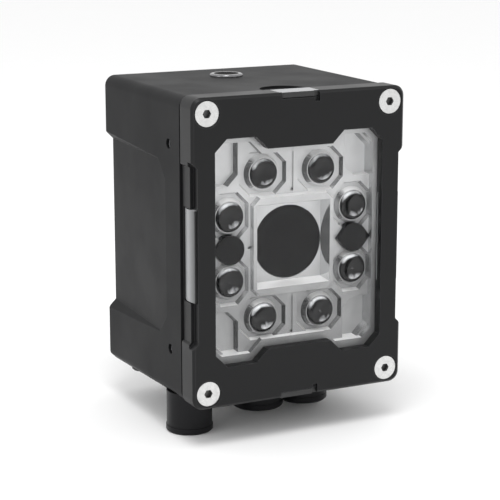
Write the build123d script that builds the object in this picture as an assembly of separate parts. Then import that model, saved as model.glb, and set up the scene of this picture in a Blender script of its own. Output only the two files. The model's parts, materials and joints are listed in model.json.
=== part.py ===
from build123d import *
import math
import os

# Fixed-mount code reader: a cast housing, a front cover with a window over a faceted light
# reflector, a camera behind the middle of it, and three round connectors underneath.
# Millimetres. The origin is the middle of the mounting face at the back. +Y points out of the
# back, +Z up, and +X to the right as seen from the front. A depth is a distance behind the front.

# Whole body
BODY_W = 74.6
BODY_D = 70.0
HOUSING_H = 97.0
COVER_H = 98.0
CORNER_R = 3.5
BOTTOM_DRAFT = 1.8

# Front cover
COVER_T = 8.3
LIP_T = 3.0
COVER_EDGE = 0.8
WAIST_H = 55.0
WAIST_CUT = 0.7
STEP_CUT = 1.9
STEP_DEPTH = 3.0
OPENING_W = 59.0
OPENING_H = 72.0
OPENING_CHAMFER = 4.0
TAB_W = 22.8
TAB_H = 4.0
LEDGE_SIDE = 1.3
LEDGE_END = 2.0
POCKET_W = OPENING_W + 2 * LEDGE_SIDE
POCKET_H = OPENING_H + 2 * LEDGE_END
POCKET_CHAMFER = 4.6

# Seal between cover and housing, and the window with its seal
GASKET_T = 0.8
GASKET_INSET = 1.0
WINDOW_SEAL_T = 0.2
WINDOW_T = 1.0
FIT_GAP = 0.15

# How far a cut runs past the surface that it opens
OVERCUT = 1.0

# Corner screws of the cover
SCREW_INSET_X = 5.3
SCREW_INSET_Z = 5.0
SCREW_R = 2.0
SCREW_HEAD_R = 3.95
SCREW_LENGTH = 13.0
HEX_KEY = 2.5
HEX_DEPTH = 1.6
SCREW_CLEARANCE = 0.2
DISH_R = 4.4
DISH_DEPTH = 0.3

# Housing
SIDE_WALL = 6.5
TOP_WALL = 3.0
BACK_WALL = 8.0
SCREW_WALL = 5.5
BACK_CHAMFER = 0.6
BOTTOM_CHAMFER = 2.5
BOTTOM_CHAMFER_START = 13.0
RELIEF_H = 56.0
RELIEF_CUT = 2.7
RELIEF_START = 20.0
RELIEF_CORNER = 6.0
RELIEF_DROP = 1.0
SCALLOP_W = 15.0
SCALLOP_REACH = 8.0
SCALLOP_START = 11.5
SCALLOP_CUT = 0.8

# Tapped mounting holes
TAP_R = 1.65
SIDE_HOLE_DEPTH = 5.0
SIDE_HOLE_AT = 17.3
SIDE_HOLE_SPACING = 66.0
BACK_HOLE_DEPTH = 6.0
BACK_SPACING_X = 40.0
BACK_SPACING_Z = 60.0

# Light bars set in the edge of the cover
BAR_LENGTH = 29.0
BAR_FRONT = 1.0
BAR_BACK = 7.9
BAR_T = 3.0
BAR_CROWN = 0.6
BAR_INSET = 0.6
BAR_GAP = 0.4
FIN_FRONT = 2.3
FIN_T = 0.6
CAP_BAR_W = 14.0
CAP_BAR_T = 1.9
CAP_BAR_FRONT = 0.3
CAP_NOTCH_W = 13.2
CAP_GAP_W = 1.7
CAP_GAP_H = 1.3

# Reflector
REFLECTOR_GAP = 0.2
REFLECTOR_T = 6.0
RIM_W = 1.0
RIM_H = 2.1
TRAY_CUT = 1.6
TRAY_DRAFT = 0.3
PAD_CUT = 1.4
PAD_DRAFT = 0.7
CORNER_CUT = 2.5
CORNER_DRAFT = 0.4
CORNER_X = 18.95
CORNER_Z = 20.0
CORNER_BEVEL = 3.5
FRAME_W = 28.4
FRAME_H = 31.4
FRAME_BEVEL = 2.4
FRAME_DRAFT = 0.5
WELL_W = 26.0
WELL_H = 27.0
WELL_DRAFT = 1.1
COLLAR_R = 6.0
COLLAR_H = 1.8
COLLAR_LAND = 0.3
GROOVE_W = 1.0
GROOVE_CUT = 0.35
GROOVE_LENGTH = 12.6
PIN_HOLE_R = 0.5
PIN_HOLE_DEPTH = 1.5
PIN_HOLES = ((-15.0, 0.0), (-26.5, 4.5), (17.5, 4.5))

# Lamps
END_LED_X = 10.25
END_LED_Z = 23.25
SIDE_LED_X = 22.0
SIDE_LED_Z = 10.4
END_PAD_W = 16.4
END_PAD_H = 14.0
SIDE_PAD_W = 13.6
SIDE_PAD_H = 15.4
PAD_BEVEL = 3.8
LENS_R = 4.7
LENS_STAND = 1.7
LENS_DOME = 1.2
LENS_DISH_R = 3.4
LENS_DISH = 0.9
LENS_CLEARANCE = 0.1
LED_SIZE = 3.4
LED_T = 1.0
LAMP_GAP = 0.3

# Aiming windows beside the camera
AIMER_R = 4.7
AIMER_POINT = 6.0
AIMER_STAND = 1.3
AIMER_GAP = 0.1

# Boards
LED_BOARD_W = 60.0
LED_BOARD_H = 74.0
LED_BOARD_GAP = 0.3
BOARD_T = 1.6
CAMERA_BOARD_W = 44.0
CAMERA_BOARD_H = 50.0
MAIN_BOARD_W = 56.0
MAIN_BOARD_H = 66.0
BOARD_SPACING = 14.0
POST_R = 2.5
POST_X = 18.0
POST_Z = 21.0
CHIP_SIZE = 17.0
CHIP_T = 1.6

# Camera
PORT_R = 11.75
PORT_T = 1.2
PORT_GAP = 0.4
BARREL_R = 11.2
BARREL_WALL = 1.6
BARREL_GAP = 0.3
BARREL_LENGTH = 17.0
LENS_T = 3.4
LENS_RIM_T = 1.2
LENS_EDGE = 0.2
SENSOR_W = 12.0
SENSOR_H = 10.0
SENSOR_T = 1.4
SENSOR_GAP = 0.6

# Push button on top
BUTTON_X = -1.6
BUTTON_AT = 50.0
BEZEL_R = 5.5
BEZEL_H = 0.9
BEZEL_EDGE = 0.6
SLEEVE_R = 4.7
SLEEVE_LENGTH = 6.5
SLEEVE_FLOOR = 1.0
BUTTON_R = 3.95
BUTTON_H = 2.6
BUTTON_SINK = 0.1
BUTTON_EDGE = 0.3
BUTTON_CLEARANCE = 0.2
BUTTON_TRAVEL = 0.8
STEM_R = 1.5
STEM_CLEARANCE = 0.3
CLIP_R = 2.6
CLIP_T = 0.5
CLIP_GAP = 0.1
STEM_END = 0.6
SPRING_R = 2.7
SPRING_WIRE = 0.4
SPRING_TURNS = 4
SPRING_GAP = 0.1
SWITCH_SIZE = 6.0
SWITCH_T = 3.4
PLUNGER_R = 1.4
PLUNGER_H = 0.6
SWITCH_GAP = 0.2
SWITCH_BOARD_W = 22.0
SWITCH_BOARD_D = 9.0
SWITCH_POST_R = 2.0

# Round connectors underneath
THREAD_R = 5.5
THREAD_LENGTH = 6.0
NECK_R = 6.0
NECK_RISE = 8.5
NECK_WALL = 1.2
INSERT_GAP = 0.1
LIP_BAND = 2.0
LIP_STEP = 0.25
SHELL_EDGE = 0.5
POWER_AT = (-29.0, 21.5)
POWER_R = 7.4
POWER_DROP = 13.7
POWER_INSERT_SINK = 9.5
POWER_PINS = 12
PIN_R = 0.4
PIN_H = 3.0
NETWORK_AT = (0.0, 30.0)
NETWORK_R = 8.4
NETWORK_DROP = 11.9
SOCKET_INSERT_SINK = 6.2
LIGHT_AT = (17.2, 30.0)
LIGHT_R = 8.1
LIGHT_DROP = 11.9
LIGHT_CONTACTS = 5
NETWORK_CONTACTS = 8
CONTACT_R = 0.45
CONTACT_CIRCLE = 0.55

# Vent plug underneath, near the left rear corner
VENT_AT = (-30.0, 57.0)
VENT_R = 4.0
VENT_DROP = 2.9
VENT_STEM_R = 2.5
VENT_STEM = 4.0
VENT_SLOT = 1.0
VENT_EDGE = 0.4
SPOT_GAP = 0.2

# Places worked out from the sizes above
SCREW_X = BODY_W / 2 - SCREW_INSET_X
SCREW_Z = COVER_H / 2 - SCREW_INSET_Z
HOUSING_FRONT = COVER_T + GASKET_T
HOUSING_TOP = HOUSING_H / 2
WINDOW_FRONT = LIP_T + WINDOW_SEAL_T
REFLECTOR_FRONT = WINDOW_FRONT + WINDOW_T + REFLECTOR_GAP
REFLECTOR_BACK = REFLECTOR_FRONT + REFLECTOR_T
TRAY_DEPTH = REFLECTOR_FRONT + TRAY_CUT
PAD_DEPTH = TRAY_DEPTH + PAD_CUT
CORNER_DEPTH = TRAY_DEPTH + CORNER_CUT
PORT_FRONT = REFLECTOR_BACK - PORT_T - PORT_GAP
LED_BOARD_FRONT = REFLECTOR_BACK + LED_BOARD_GAP
LED_BOARD_BACK = LED_BOARD_FRONT + BOARD_T
CAVITY_W = BODY_W - 2 * SIDE_WALL
CAVITY_H = HOUSING_H - 2 * TOP_WALL
CAVITY_CHAMFER = (CAVITY_W + CAVITY_H) / 2 - (SCREW_X + SCREW_Z - SCREW_WALL * math.sqrt(2))
BARREL_FRONT = REFLECTOR_BACK + BARREL_GAP
BARREL_BACK = BARREL_FRONT + BARREL_LENGTH
SENSOR_BACK = BARREL_BACK + SENSOR_GAP + SENSOR_T
CAMERA_BOARD_BACK = SENSOR_BACK + BOARD_T
MAIN_BOARD_FRONT = CAMERA_BOARD_BACK + BOARD_SPACING
MAIN_BOARD_BACK = MAIN_BOARD_FRONT + BOARD_T
SLEEVE_BOTTOM = HOUSING_TOP - SLEEVE_LENGTH
BUTTON_TOP = HOUSING_TOP + BEZEL_H - BUTTON_SINK
BUTTON_BOTTOM = BUTTON_TOP - BUTTON_H
STEM_BOTTOM = SLEEVE_BOTTOM - CLIP_T - STEM_END
SWITCH_TOP = STEM_BOTTOM - BUTTON_TRAVEL - SWITCH_GAP
SWITCH_BOARD_TOP = SWITCH_TOP - PLUNGER_H - SWITCH_T


def at_depth(depth):
    """Plane that faces the viewer, at a depth behind the front face."""
    return Plane.XZ.offset(BODY_D - depth)


def slab(outline, near, far):
    """Solid of a flat outline between two depths."""
    return extrude(at_depth(far) * outline, amount=far - near)


def drafted(near_outline, near, far_outline, far):
    """Solid that runs from one outline at a depth to another one further back."""
    return loft([(at_depth(near) * near_outline).face(), (at_depth(far) * far_outline).face()])


def bevelled(width, height, bevel):
    """Rectangle with its four corners cut off at 45 degrees."""
    return chamfer(Rectangle(width, height).vertices(), bevel)


def window_outline(inset_x=0.0, inset_z=0.0):
    """The opening's outline, with a tab that reaches in from the middle of each end."""
    half_w = OPENING_W / 2 - inset_x
    half_h = OPENING_H / 2 - inset_z
    tab = TAB_W / 2
    bevel = OPENING_CHAMFER - (inset_x + inset_z) * (1 - 1 / math.sqrt(2))
    quarter = [
        (tab, half_h - TAB_H),
        (tab + TAB_H, half_h),
        (half_w - bevel, half_h),
        (half_w, half_h - bevel),
    ]
    right = quarter + [(x, -z) for x, z in reversed(quarter)]
    left = [(-x, -z) for x, z in right]
    return make_face(Polyline(*right, *left, close=True))


def all_quarters(x, z):
    """The four places that mirror one another about the middle."""
    return [(sx * x, sz * z) for sx in (-1, 1) for sz in (1, -1)]


def lamp_places():
    """Centres of the eight lamps: four at the ends of the window, four at its sides."""
    return all_quarters(END_LED_X, END_LED_Z) + all_quarters(SIDE_LED_X, SIDE_LED_Z)


def upright(x, depth, z_low, z_high, radius):
    """Vertical round bar between two heights."""
    bar = Cylinder(radius, z_high - z_low, align=(Align.CENTER, Align.CENTER, Align.MIN))
    return Pos(x, depth - BODY_D, z_low) * bar


def facing_bar(x, z, near, far, radius):
    """Round bar along the depth."""
    return slab(Pos(x, z) * Circle(radius), near, far)


def front_cover():
    """Cast front cover with the window opening, its seat, and slots for the light bars."""
    cover = slab(RectangleRounded(BODY_W, COVER_H, CORNER_R), 0, COVER_T)
    cover = chamfer(cover.faces().sort_by(Axis.Y)[0].edges(), COVER_EDGE)
    cover -= slab(window_outline(), 0, LIP_T)
    cover -= slab(bevelled(POCKET_W, POCKET_H, POCKET_CHAMFER), LIP_T, COVER_T)
    for side in (-1, 1):
        cover -= waist_cut(side, WAIST_CUT, 0, COVER_T)
        cover -= waist_cut(side, STEP_CUT, 0, STEP_DEPTH)
        cover -= side_bar_slot(side)
        cover -= cap_bar_slot(side)
    for x, z in all_quarters(SCREW_X, SCREW_Z):
        cover -= facing_bar(x, z, 0, COVER_T, SCREW_R + SCREW_CLEARANCE)
        cover -= facing_bar(x, z, 0, DISH_DEPTH, DISH_R)
        cover -= screw_sink(x, z, SCREW_CLEARANCE)
    return cover


def waist_cut(side, cut, near, far):
    """What is cut from one side of the cover along its waist, with 45 degree ends."""
    wall = BODY_W / 2
    half = WAIST_H / 2
    outline = Polyline(
        (side * (wall - cut), half),
        (side * (wall + OVERCUT), half + cut + OVERCUT),
        (side * (wall + OVERCUT), -half - cut - OVERCUT),
        (side * (wall - cut), -half),
        close=True,
    )
    return slab(make_face(outline), near, far)


def side_bar_slot(side):
    """Slot in the cover's side for a light bar and the fin that reaches the window."""
    floor = BODY_W / 2 - BAR_INSET - BAR_T
    slot = Pos(side * (floor + BAR_T), 0) * Rectangle(2 * BAR_T, BAR_LENGTH + 2 * BAR_GAP)
    fin = Pos(side * (OPENING_W / 2 + floor) / 2, 0) * Rectangle(floor - OPENING_W / 2 + OVERCUT, BAR_LENGTH)
    return slab(slot, BAR_FRONT - BAR_GAP, COVER_T) + slab(fin, FIN_FRONT, LIP_T)


def cap_bar_slot(side):
    """Slot in the cover's top or bottom edge, open to the front over the bar's nose."""
    floor = COVER_H / 2 - CAP_BAR_T
    slot = Pos(0, side * (floor + CAP_BAR_T)) * Rectangle(CAP_BAR_W + BAR_GAP, 2 * CAP_BAR_T)
    nose = Pos(0, side * (floor + CAP_BAR_T)) * Rectangle(CAP_NOTCH_W, 2 * CAP_BAR_T)
    gap_x = (CAP_NOTCH_W - CAP_GAP_W) / 2
    gap = Pos(gap_x, side * floor) * Rectangle(CAP_GAP_W, 2 * CAP_GAP_H)
    return slab(slot, BAR_FRONT, COVER_T) + slab(nose, 0, BAR_FRONT) + slab(gap, 0, BAR_FRONT)


def screw_sink(x, z, clearance):
    """Countersink for a corner screw's head, a 90 degree cone."""
    top = SCREW_HEAD_R + clearance
    bottom = SCREW_R + clearance
    start = DISH_DEPTH
    return drafted(Pos(x, z) * Circle(top), start, Pos(x, z) * Circle(bottom), start + top - bottom)


def front_screw(x, z):
    """Countersunk socket screw that holds the cover on."""
    screw = screw_sink(x, z, 0)
    screw += facing_bar(x, z, DISH_DEPTH + SCREW_HEAD_R - SCREW_R, SCREW_LENGTH, SCREW_R - FIT_GAP)
    key = Pos(x, z) * RegularPolygon(HEX_KEY / 2, 6, major_radius=False)
    return screw - slab(key, 0, DISH_DEPTH + HEX_DEPTH)


def housing_gasket():
    """Flat rubber seal between the cover and the housing, which shows as a dark seam."""
    outer = RectangleRounded(
        BODY_W - 2 * GASKET_INSET, HOUSING_H - 2 * GASKET_INSET, CORNER_R - GASKET_INSET
    )
    gasket = slab(outer - cavity_outline(), COVER_T, HOUSING_FRONT)
    for x, z in all_quarters(SCREW_X, SCREW_Z):
        gasket -= facing_bar(x, z, COVER_T, HOUSING_FRONT, SCREW_R + SCREW_CLEARANCE)
    return gasket


def cavity_outline():
    """Inside of the housing, with its corners kept solid around the cover's screws."""
    return bevelled(CAVITY_W, CAVITY_H, CAVITY_CHAMFER)


def housing_bottom(depth):
    """Height of the housing's bottom face, which slopes down a little towards the back."""
    return -HOUSING_TOP - BOTTOM_DRAFT * (depth - HOUSING_FRONT) / (BODY_D - HOUSING_FRONT)


def housing_outline(depth, inset=0.0):
    """Outline of the housing at a depth, with round corners."""
    bottom = housing_bottom(depth)
    outline = RectangleRounded(BODY_W - 2 * inset, HOUSING_TOP - bottom - 2 * inset, CORNER_R)
    return Pos(0, (HOUSING_TOP + bottom) / 2) * outline


def main_housing():
    """Deep cast housing, closed at the back, with side reliefs, bosses and tapped holes."""
    back_edge = BODY_D - BACK_CHAMFER
    housing = drafted(housing_outline(HOUSING_FRONT), HOUSING_FRONT, housing_outline(back_edge), back_edge)
    housing += drafted(housing_outline(back_edge), back_edge, housing_outline(BODY_D, BACK_CHAMFER), BODY_D)
    housing -= slab(cavity_outline(), HOUSING_FRONT, BODY_D - BACK_WALL)
    for side in (-1, 1):
        housing -= side_relief(side)
        housing -= bottom_bevel(side)
        for z in (-SIDE_HOLE_SPACING / 2, SIDE_HOLE_SPACING / 2):
            housing -= side_hole(side, z)
    housing -= top_scallop()
    for x, z in all_quarters(SCREW_X, SCREW_Z):
        housing -= facing_bar(x, z, HOUSING_FRONT, SCREW_LENGTH + OVERCUT, SCREW_R)
    for x, z in all_quarters(BACK_SPACING_X / 2, BACK_SPACING_Z / 2):
        housing -= facing_bar(x, z, BODY_D - BACK_HOLE_DEPTH, BODY_D, TAP_R)
    for x, z in all_quarters(POST_X, POST_Z):
        housing += facing_bar(x, z, MAIN_BOARD_BACK, BODY_D - BACK_WALL, POST_R)
    post_top = HOUSING_TOP - OVERCUT
    for side in (-1, 1):
        housing += upright(switch_post_x(side), BUTTON_AT, SWITCH_BOARD_TOP, post_top, SWITCH_POST_R)
    housing -= upright(BUTTON_X, BUTTON_AT, 0, HOUSING_TOP, SLEEVE_R + FIT_GAP)
    for x, depth in (POWER_AT, NETWORK_AT, LIGHT_AT):
        housing -= upright(x, depth, -HOUSING_TOP, NECK_RISE + 2 * OVERCUT - HOUSING_TOP, NECK_R + FIT_GAP)
    for (x, depth), radius in (
        (POWER_AT, POWER_R), (NETWORK_AT, NETWORK_R), (LIGHT_AT, LIGHT_R), (VENT_AT, VENT_R),
    ):
        housing -= upright(x, depth, housing_bottom(BODY_D), -HOUSING_TOP, radius + SPOT_GAP)
    vent_x, vent_depth = VENT_AT
    vent_top = VENT_STEM + FIT_GAP - HOUSING_TOP
    housing -= upright(vent_x, vent_depth, -HOUSING_TOP, vent_top, VENT_STEM_R + FIT_GAP)
    return housing


def side_relief(side):
    """Shallow relief in one side that deepens towards the back and has sloped ends."""
    run = BODY_D - RELIEF_START
    tilt = math.degrees(math.atan2(RELIEF_CUT, run))
    start = Vector(side * BODY_W / 2, RELIEF_START - BODY_D, -RELIEF_DROP)
    along = Vector(-side * math.sin(math.radians(tilt)), math.cos(math.radians(tilt)), 0)
    outward = Vector(side * math.cos(math.radians(tilt)), math.sin(math.radians(tilt)), 0)
    plane = Plane(origin=start, x_dir=along, z_dir=outward)
    half = RELIEF_H / 2
    reach = run + RELIEF_CORNER
    outline = Polyline(
        (0, half - RELIEF_CORNER),
        (RELIEF_CORNER, half),
        (reach, half),
        (reach, -half),
        (RELIEF_CORNER, -half),
        (0, RELIEF_CORNER - half),
        close=True,
    )
    return extrude(plane * make_face(outline), amount=RELIEF_CUT + 2 * OVERCUT, taper=-45)


def bottom_bevel(side):
    """Bevel along a lower edge, which stops short of the front."""
    outline = Rot(0, 0, 45) * Rectangle(BOTTOM_CHAMFER * math.sqrt(2), BOTTOM_CHAMFER * math.sqrt(2))
    edge_x = side * BODY_W / 2
    near = Pos(edge_x, housing_bottom(BOTTOM_CHAMFER_START)) * outline
    return drafted(near, BOTTOM_CHAMFER_START, Pos(edge_x, housing_bottom(BODY_D)) * outline, BODY_D)


def side_hole(side, z):
    """Blind tapped hole in a side."""
    hole = Cylinder(TAP_R, SIDE_HOLE_DEPTH, rotation=(0, 90, 0))
    return Pos(side * (BODY_W - SIDE_HOLE_DEPTH) / 2, SIDE_HOLE_AT - BODY_D, z) * hole


def top_scallop():
    """Shallow bow-shaped cut in the top, behind the light bar."""
    start = SCALLOP_START - BODY_D
    arc = ThreePointArc(
        (-SCALLOP_W / 2, start), (0, start + SCALLOP_REACH), (SCALLOP_W / 2, start)
    )
    outline = make_face(arc + Line((SCALLOP_W / 2, start), (-SCALLOP_W / 2, start)))
    return extrude(Plane.XY.offset(HOUSING_TOP - SCALLOP_CUT) * outline, amount=SCALLOP_CUT + OVERCUT)


def side_light_bar(side):
    """Diffuser in the cover's side: a crowned bar with a thin fin that ends at the window."""
    outer = BODY_W / 2 - BAR_INSET
    inner = outer - BAR_T
    middle = (BAR_FRONT + BAR_BACK) / 2
    front = BAR_FRONT - BODY_D
    back = BAR_BACK - BODY_D
    shoulder = outer - BAR_CROWN
    crown = ThreePointArc(
        (side * shoulder, front), (side * outer, middle - BODY_D), (side * shoulder, back)
    )
    rest = Polyline(
        (side * shoulder, back), (side * inner, back), (side * inner, front), (side * shoulder, front)
    )
    bar = extrude(Plane.XY.offset(-BAR_LENGTH / 2) * make_face(crown + rest), amount=BAR_LENGTH)
    fin_length = inner - OPENING_W / 2
    fin = Pos(side * (inner - fin_length / 2), 0) * Rectangle(fin_length, BAR_LENGTH - FIT_GAP)
    return bar + slab(fin, FIN_FRONT, FIN_FRONT + FIN_T)


def cap_light_bar(side):
    """Diffuser in the cover's top or bottom edge, with a nose that shows at the front."""
    floor = COVER_H / 2 - CAP_BAR_T + FIT_GAP
    height = COVER_H / 2 - floor
    body = Pos(0, side * (floor + height / 2)) * Rectangle(CAP_BAR_W, height)
    nose_w = CAP_NOTCH_W - CAP_GAP_W - BAR_GAP
    nose_x = -(CAP_NOTCH_W - nose_w) / 2 + BAR_GAP / 2
    nose = Pos(nose_x, side * (floor + height / 2)) * Rectangle(nose_w, height)
    return slab(body, BAR_FRONT + FIT_GAP, BAR_BACK) + slab(nose, CAP_BAR_FRONT, BAR_FRONT + FIT_GAP)


def window_seal():
    """Thin bonded seal between the cover's lip and the window."""
    outer = bevelled(POCKET_W - 2 * FIT_GAP, POCKET_H - 2 * FIT_GAP, POCKET_CHAMFER)
    return slab(outer - window_outline(), LIP_T, WINDOW_FRONT)


def front_window():
    """Clear pane over the lamps and the camera."""
    outline = bevelled(POCKET_W - 2 * FIT_GAP, POCKET_H - 2 * FIT_GAP, POCKET_CHAMFER)
    return slab(outline, WINDOW_FRONT, WINDOW_FRONT + WINDOW_T)


def reflector_plate():
    """Faceted reflector: a rimmed tray with corner wells, lamp pads and a deep camera well."""
    plate = slab(
        bevelled(POCKET_W - 2 * FIT_GAP, POCKET_H - 2 * FIT_GAP, POCKET_CHAMFER),
        REFLECTOR_FRONT,
        REFLECTOR_BACK,
    )
    plate -= reflector_tray()
    for x, z in all_quarters(1, 1):
        plate -= corner_well(x, z)
    for x, z in all_quarters(END_LED_X, END_LED_Z):
        plate -= lamp_pad(x, z, END_PAD_W, END_PAD_H)
    for x, z in all_quarters(SIDE_LED_X, SIDE_LED_Z):
        plate -= lamp_pad(x, z, SIDE_PAD_W, SIDE_PAD_H)
    for side in (-1, 1):
        plate -= middle_groove(side)
    for x, z in lamp_places():
        plate += lamp_collar(x, z)
    for x, z in lamp_places():
        plate -= facing_bar(x, z, 0, REFLECTOR_BACK, LENS_R + LENS_CLEARANCE)
    for x, z in PIN_HOLES:
        plate -= facing_bar(x, z, 0, TRAY_DEPTH + PIN_HOLE_DEPTH, PIN_HOLE_R)
    for side in (-1, 1):
        plate -= slab(Pos(side * SIDE_LED_X, 0) * aimer_outline(side, AIMER_GAP), 0, REFLECTOR_BACK)
    plate -= drafted(
        Rectangle(WELL_W, WELL_H),
        REFLECTOR_FRONT,
        Rectangle(WELL_W - 2 * WELL_DRAFT, WELL_H - 2 * WELL_DRAFT),
        PORT_FRONT,
    )
    return plate - facing_bar(0, 0, 0, REFLECTOR_BACK, PORT_R + FIT_GAP)


def reflector_tray():
    """What is hollowed from the plate: the tray inside its rim, less the camera's frame."""
    tray = drafted(
        window_outline(RIM_W, RIM_H),
        REFLECTOR_FRONT,
        window_outline(RIM_W + TRAY_DRAFT, RIM_H + TRAY_DRAFT),
        TRAY_DEPTH,
    )
    return tray - drafted(
        bevelled(FRAME_W, FRAME_H, FRAME_BEVEL),
        REFLECTOR_FRONT,
        bevelled(FRAME_W + 2 * FRAME_DRAFT, FRAME_H + 2 * FRAME_DRAFT, FRAME_BEVEL),
        TRAY_DEPTH,
    )


def corner_well(side_x, side_z):
    """Deep flat-floored well in one corner of the tray."""
    outer_x = OPENING_W / 2 - RIM_W - TRAY_DRAFT
    outer_z = OPENING_H / 2 - RIM_H - TRAY_DRAFT

    def outline(shrink):
        inner_x = CORNER_X + shrink
        inner_z = CORNER_Z + shrink
        far_x = outer_x - shrink
        far_z = outer_z - shrink
        points = [
            (inner_x, inner_z + CORNER_BEVEL),
            (inner_x, far_z),
            (far_x - OPENING_CHAMFER, far_z),
            (far_x, far_z - OPENING_CHAMFER),
            (far_x, inner_z),
            (inner_x + CORNER_BEVEL, inner_z),
        ]
        return make_face(Polyline(*[(side_x * x, side_z * z) for x, z in points], close=True))

    return drafted(outline(0), TRAY_DEPTH, outline(CORNER_DRAFT), CORNER_DEPTH)


def lamp_pad(x, z, width, height):
    """Eight-sided recess around a lamp, with steep walls."""
    floor_w = width - 2 * PAD_DRAFT
    floor_h = height - 2 * PAD_DRAFT
    floor_bevel = PAD_BEVEL - PAD_DRAFT * (2 - math.sqrt(2))
    return drafted(
        Pos(x, z) * bevelled(width, height, PAD_BEVEL),
        TRAY_DEPTH,
        Pos(x, z) * bevelled(floor_w, floor_h, floor_bevel),
        PAD_DEPTH,
    )


def lamp_collar(x, z):
    """Cone that rises from the pad's floor around the lamp's lens."""
    top_r = LENS_R + LENS_CLEARANCE + COLLAR_LAND
    return drafted(
        Pos(x, z) * Circle(top_r), PAD_DEPTH - COLLAR_H, Pos(x, z) * Circle(COLLAR_R), PAD_DEPTH
    )


def middle_groove(side):
    """Narrow groove between the two lamps of an end, with a pin hole at its lower end."""
    middle = END_LED_Z * side
    groove = slab(Pos(0, middle) * Rectangle(GROOVE_W, GROOVE_LENGTH), TRAY_DEPTH, TRAY_DEPTH + GROOVE_CUT)
    pin_z = middle - GROOVE_LENGTH / 2 + PIN_HOLE_R
    return groove + facing_bar(0, pin_z, TRAY_DEPTH, TRAY_DEPTH + OVERCUT, PIN_HOLE_R)


def turned(edges, x, z):
    """Solid turned about a line along the depth, from half a section that starts on that line."""
    return Pos(x, 0, z) * revolve(make_face(edges), Axis.Y)


def lamp_lens(x, z):
    """Moulded lens over a lamp: a round foot whose front is dished inside a rounded rim."""
    rim = PAD_DEPTH - LENS_STAND - LENS_DOME - BODY_D
    foot = LED_BOARD_FRONT - LED_T - LAMP_GAP - BODY_D
    shoulder = rim + LENS_DOME
    floor = rim + LENS_DISH
    dish = ThreePointArc(
        (0, floor), (LENS_DISH_R / 2, floor - sag(LENS_DISH_R, LENS_DISH)), (LENS_DISH_R, rim)
    )
    lean = 1 - 1 / math.sqrt(2)
    bend_r = LENS_R - (LENS_R - LENS_DISH_R) * lean
    round_rim = ThreePointArc((LENS_DISH_R, rim), (bend_r, rim + LENS_DOME * lean), (LENS_R, shoulder))
    rest = Polyline((LENS_R, shoulder), (LENS_R, foot), (0, foot), (0, floor))
    return turned(dish + round_rim + rest, x, z)


def sag(radius, height):
    """How far a bowl of a given radius and height has risen half way out."""
    ball = (radius**2 + height**2) / (2 * height)
    return ball - math.sqrt(ball**2 - radius**2 / 4)


def dome_point(radius, height, crown):
    """Point half way out on a dome of a given radius and height."""
    return (radius / 2, crown + sag(radius, height))


def lamp(x, z):
    """Light-emitting chip package that stands on the board behind its lens."""
    package = Pos(x, z) * Rectangle(LED_SIZE, LED_SIZE)
    return slab(package, LED_BOARD_FRONT - LED_T, LED_BOARD_FRONT)


def aimer_outline(side, grow=0.0):
    """Round window with a point at its outer end, and on the right window at its inner end too."""
    reach = AIMER_POINT + grow
    radius = AIMER_R + grow
    touch_x = radius**2 / reach
    touch_z = radius * math.sqrt(1 - (radius / reach) ** 2)
    outline = Circle(radius)
    ends = (-1, 1) if side > 0 else (-1,)
    for end in ends:
        outline += make_face(
            Polyline((end * reach, 0), (end * touch_x, touch_z), (end * touch_x, -touch_z), close=True)
        )
    return outline


def aimer_window(side):
    """Dark window in front of an aiming light."""
    outline = Pos(side * SIDE_LED_X, 0) * aimer_outline(side)
    return slab(outline, TRAY_DEPTH - AIMER_STAND, LED_BOARD_FRONT)


def led_board():
    """Board that carries the lamps, with a round hole for the camera."""
    board = bevelled(LED_BOARD_W, LED_BOARD_H, POCKET_CHAMFER) - Circle(BARREL_R + LED_BOARD_GAP)
    return slab(board, LED_BOARD_FRONT, LED_BOARD_BACK)


def port_window():
    """Dark round window in the floor of the camera well."""
    return facing_bar(0, 0, PORT_FRONT, PORT_FRONT + PORT_T, PORT_R)


def lens_barrel():
    """Tube that holds the camera's lenses and stands on the camera board."""
    tube = facing_bar(0, 0, BARREL_FRONT, SENSOR_BACK, BARREL_R)
    tube -= facing_bar(0, 0, BARREL_FRONT, SENSOR_BACK, BARREL_R - BARREL_WALL)
    stop_at = BARREL_FRONT + BARREL_LENGTH / 2
    stop = slab(Circle(BARREL_R) - Circle(BARREL_R / 2), stop_at, stop_at + BARREL_WALL)
    return tube + stop


def camera_lens(middle):
    """Glass lens domed on both sides that fits the barrel."""
    radius = BARREL_R - BARREL_WALL - LENS_EDGE / 2
    dome = LENS_T / 2 - LENS_RIM_T / 2
    front = middle - LENS_T / 2 - BODY_D
    back = middle + LENS_T / 2 - BODY_D
    near_x, near_y = dome_point(radius, dome, front)
    section = ThreePointArc((0, front), (near_x, near_y), (radius, front + dome))
    section += Line((radius, front + dome), (radius, back - dome))
    section += ThreePointArc((radius, back - dome), (near_x, front + back - near_y), (0, back))
    return turned(section + Line((0, back), (0, front)), 0, 0)


def image_sensor():
    """Image sensor package on the camera board."""
    return slab(Rectangle(SENSOR_W, SENSOR_H), SENSOR_BACK - SENSOR_T, SENSOR_BACK)


def camera_board():
    """Board that carries the sensor and the lens barrel."""
    board = Rectangle(CAMERA_BOARD_W, CAMERA_BOARD_H)
    return slab(board, SENSOR_BACK, CAMERA_BOARD_BACK)


def board_posts():
    """Four posts between the camera board and the main board."""
    return [
        facing_bar(x, z, CAMERA_BOARD_BACK, MAIN_BOARD_FRONT, POST_R)
        for x, z in all_quarters(POST_X, POST_Z)
    ]


def main_board():
    """Processor board, seated on the housing's four bosses."""
    return slab(Rectangle(MAIN_BOARD_W, MAIN_BOARD_H), MAIN_BOARD_FRONT, MAIN_BOARD_BACK)


def processor_chip():
    """Processor on the front of the main board."""
    return slab(Rectangle(CHIP_SIZE, CHIP_SIZE), MAIN_BOARD_FRONT - CHIP_T, MAIN_BOARD_FRONT)


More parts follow.
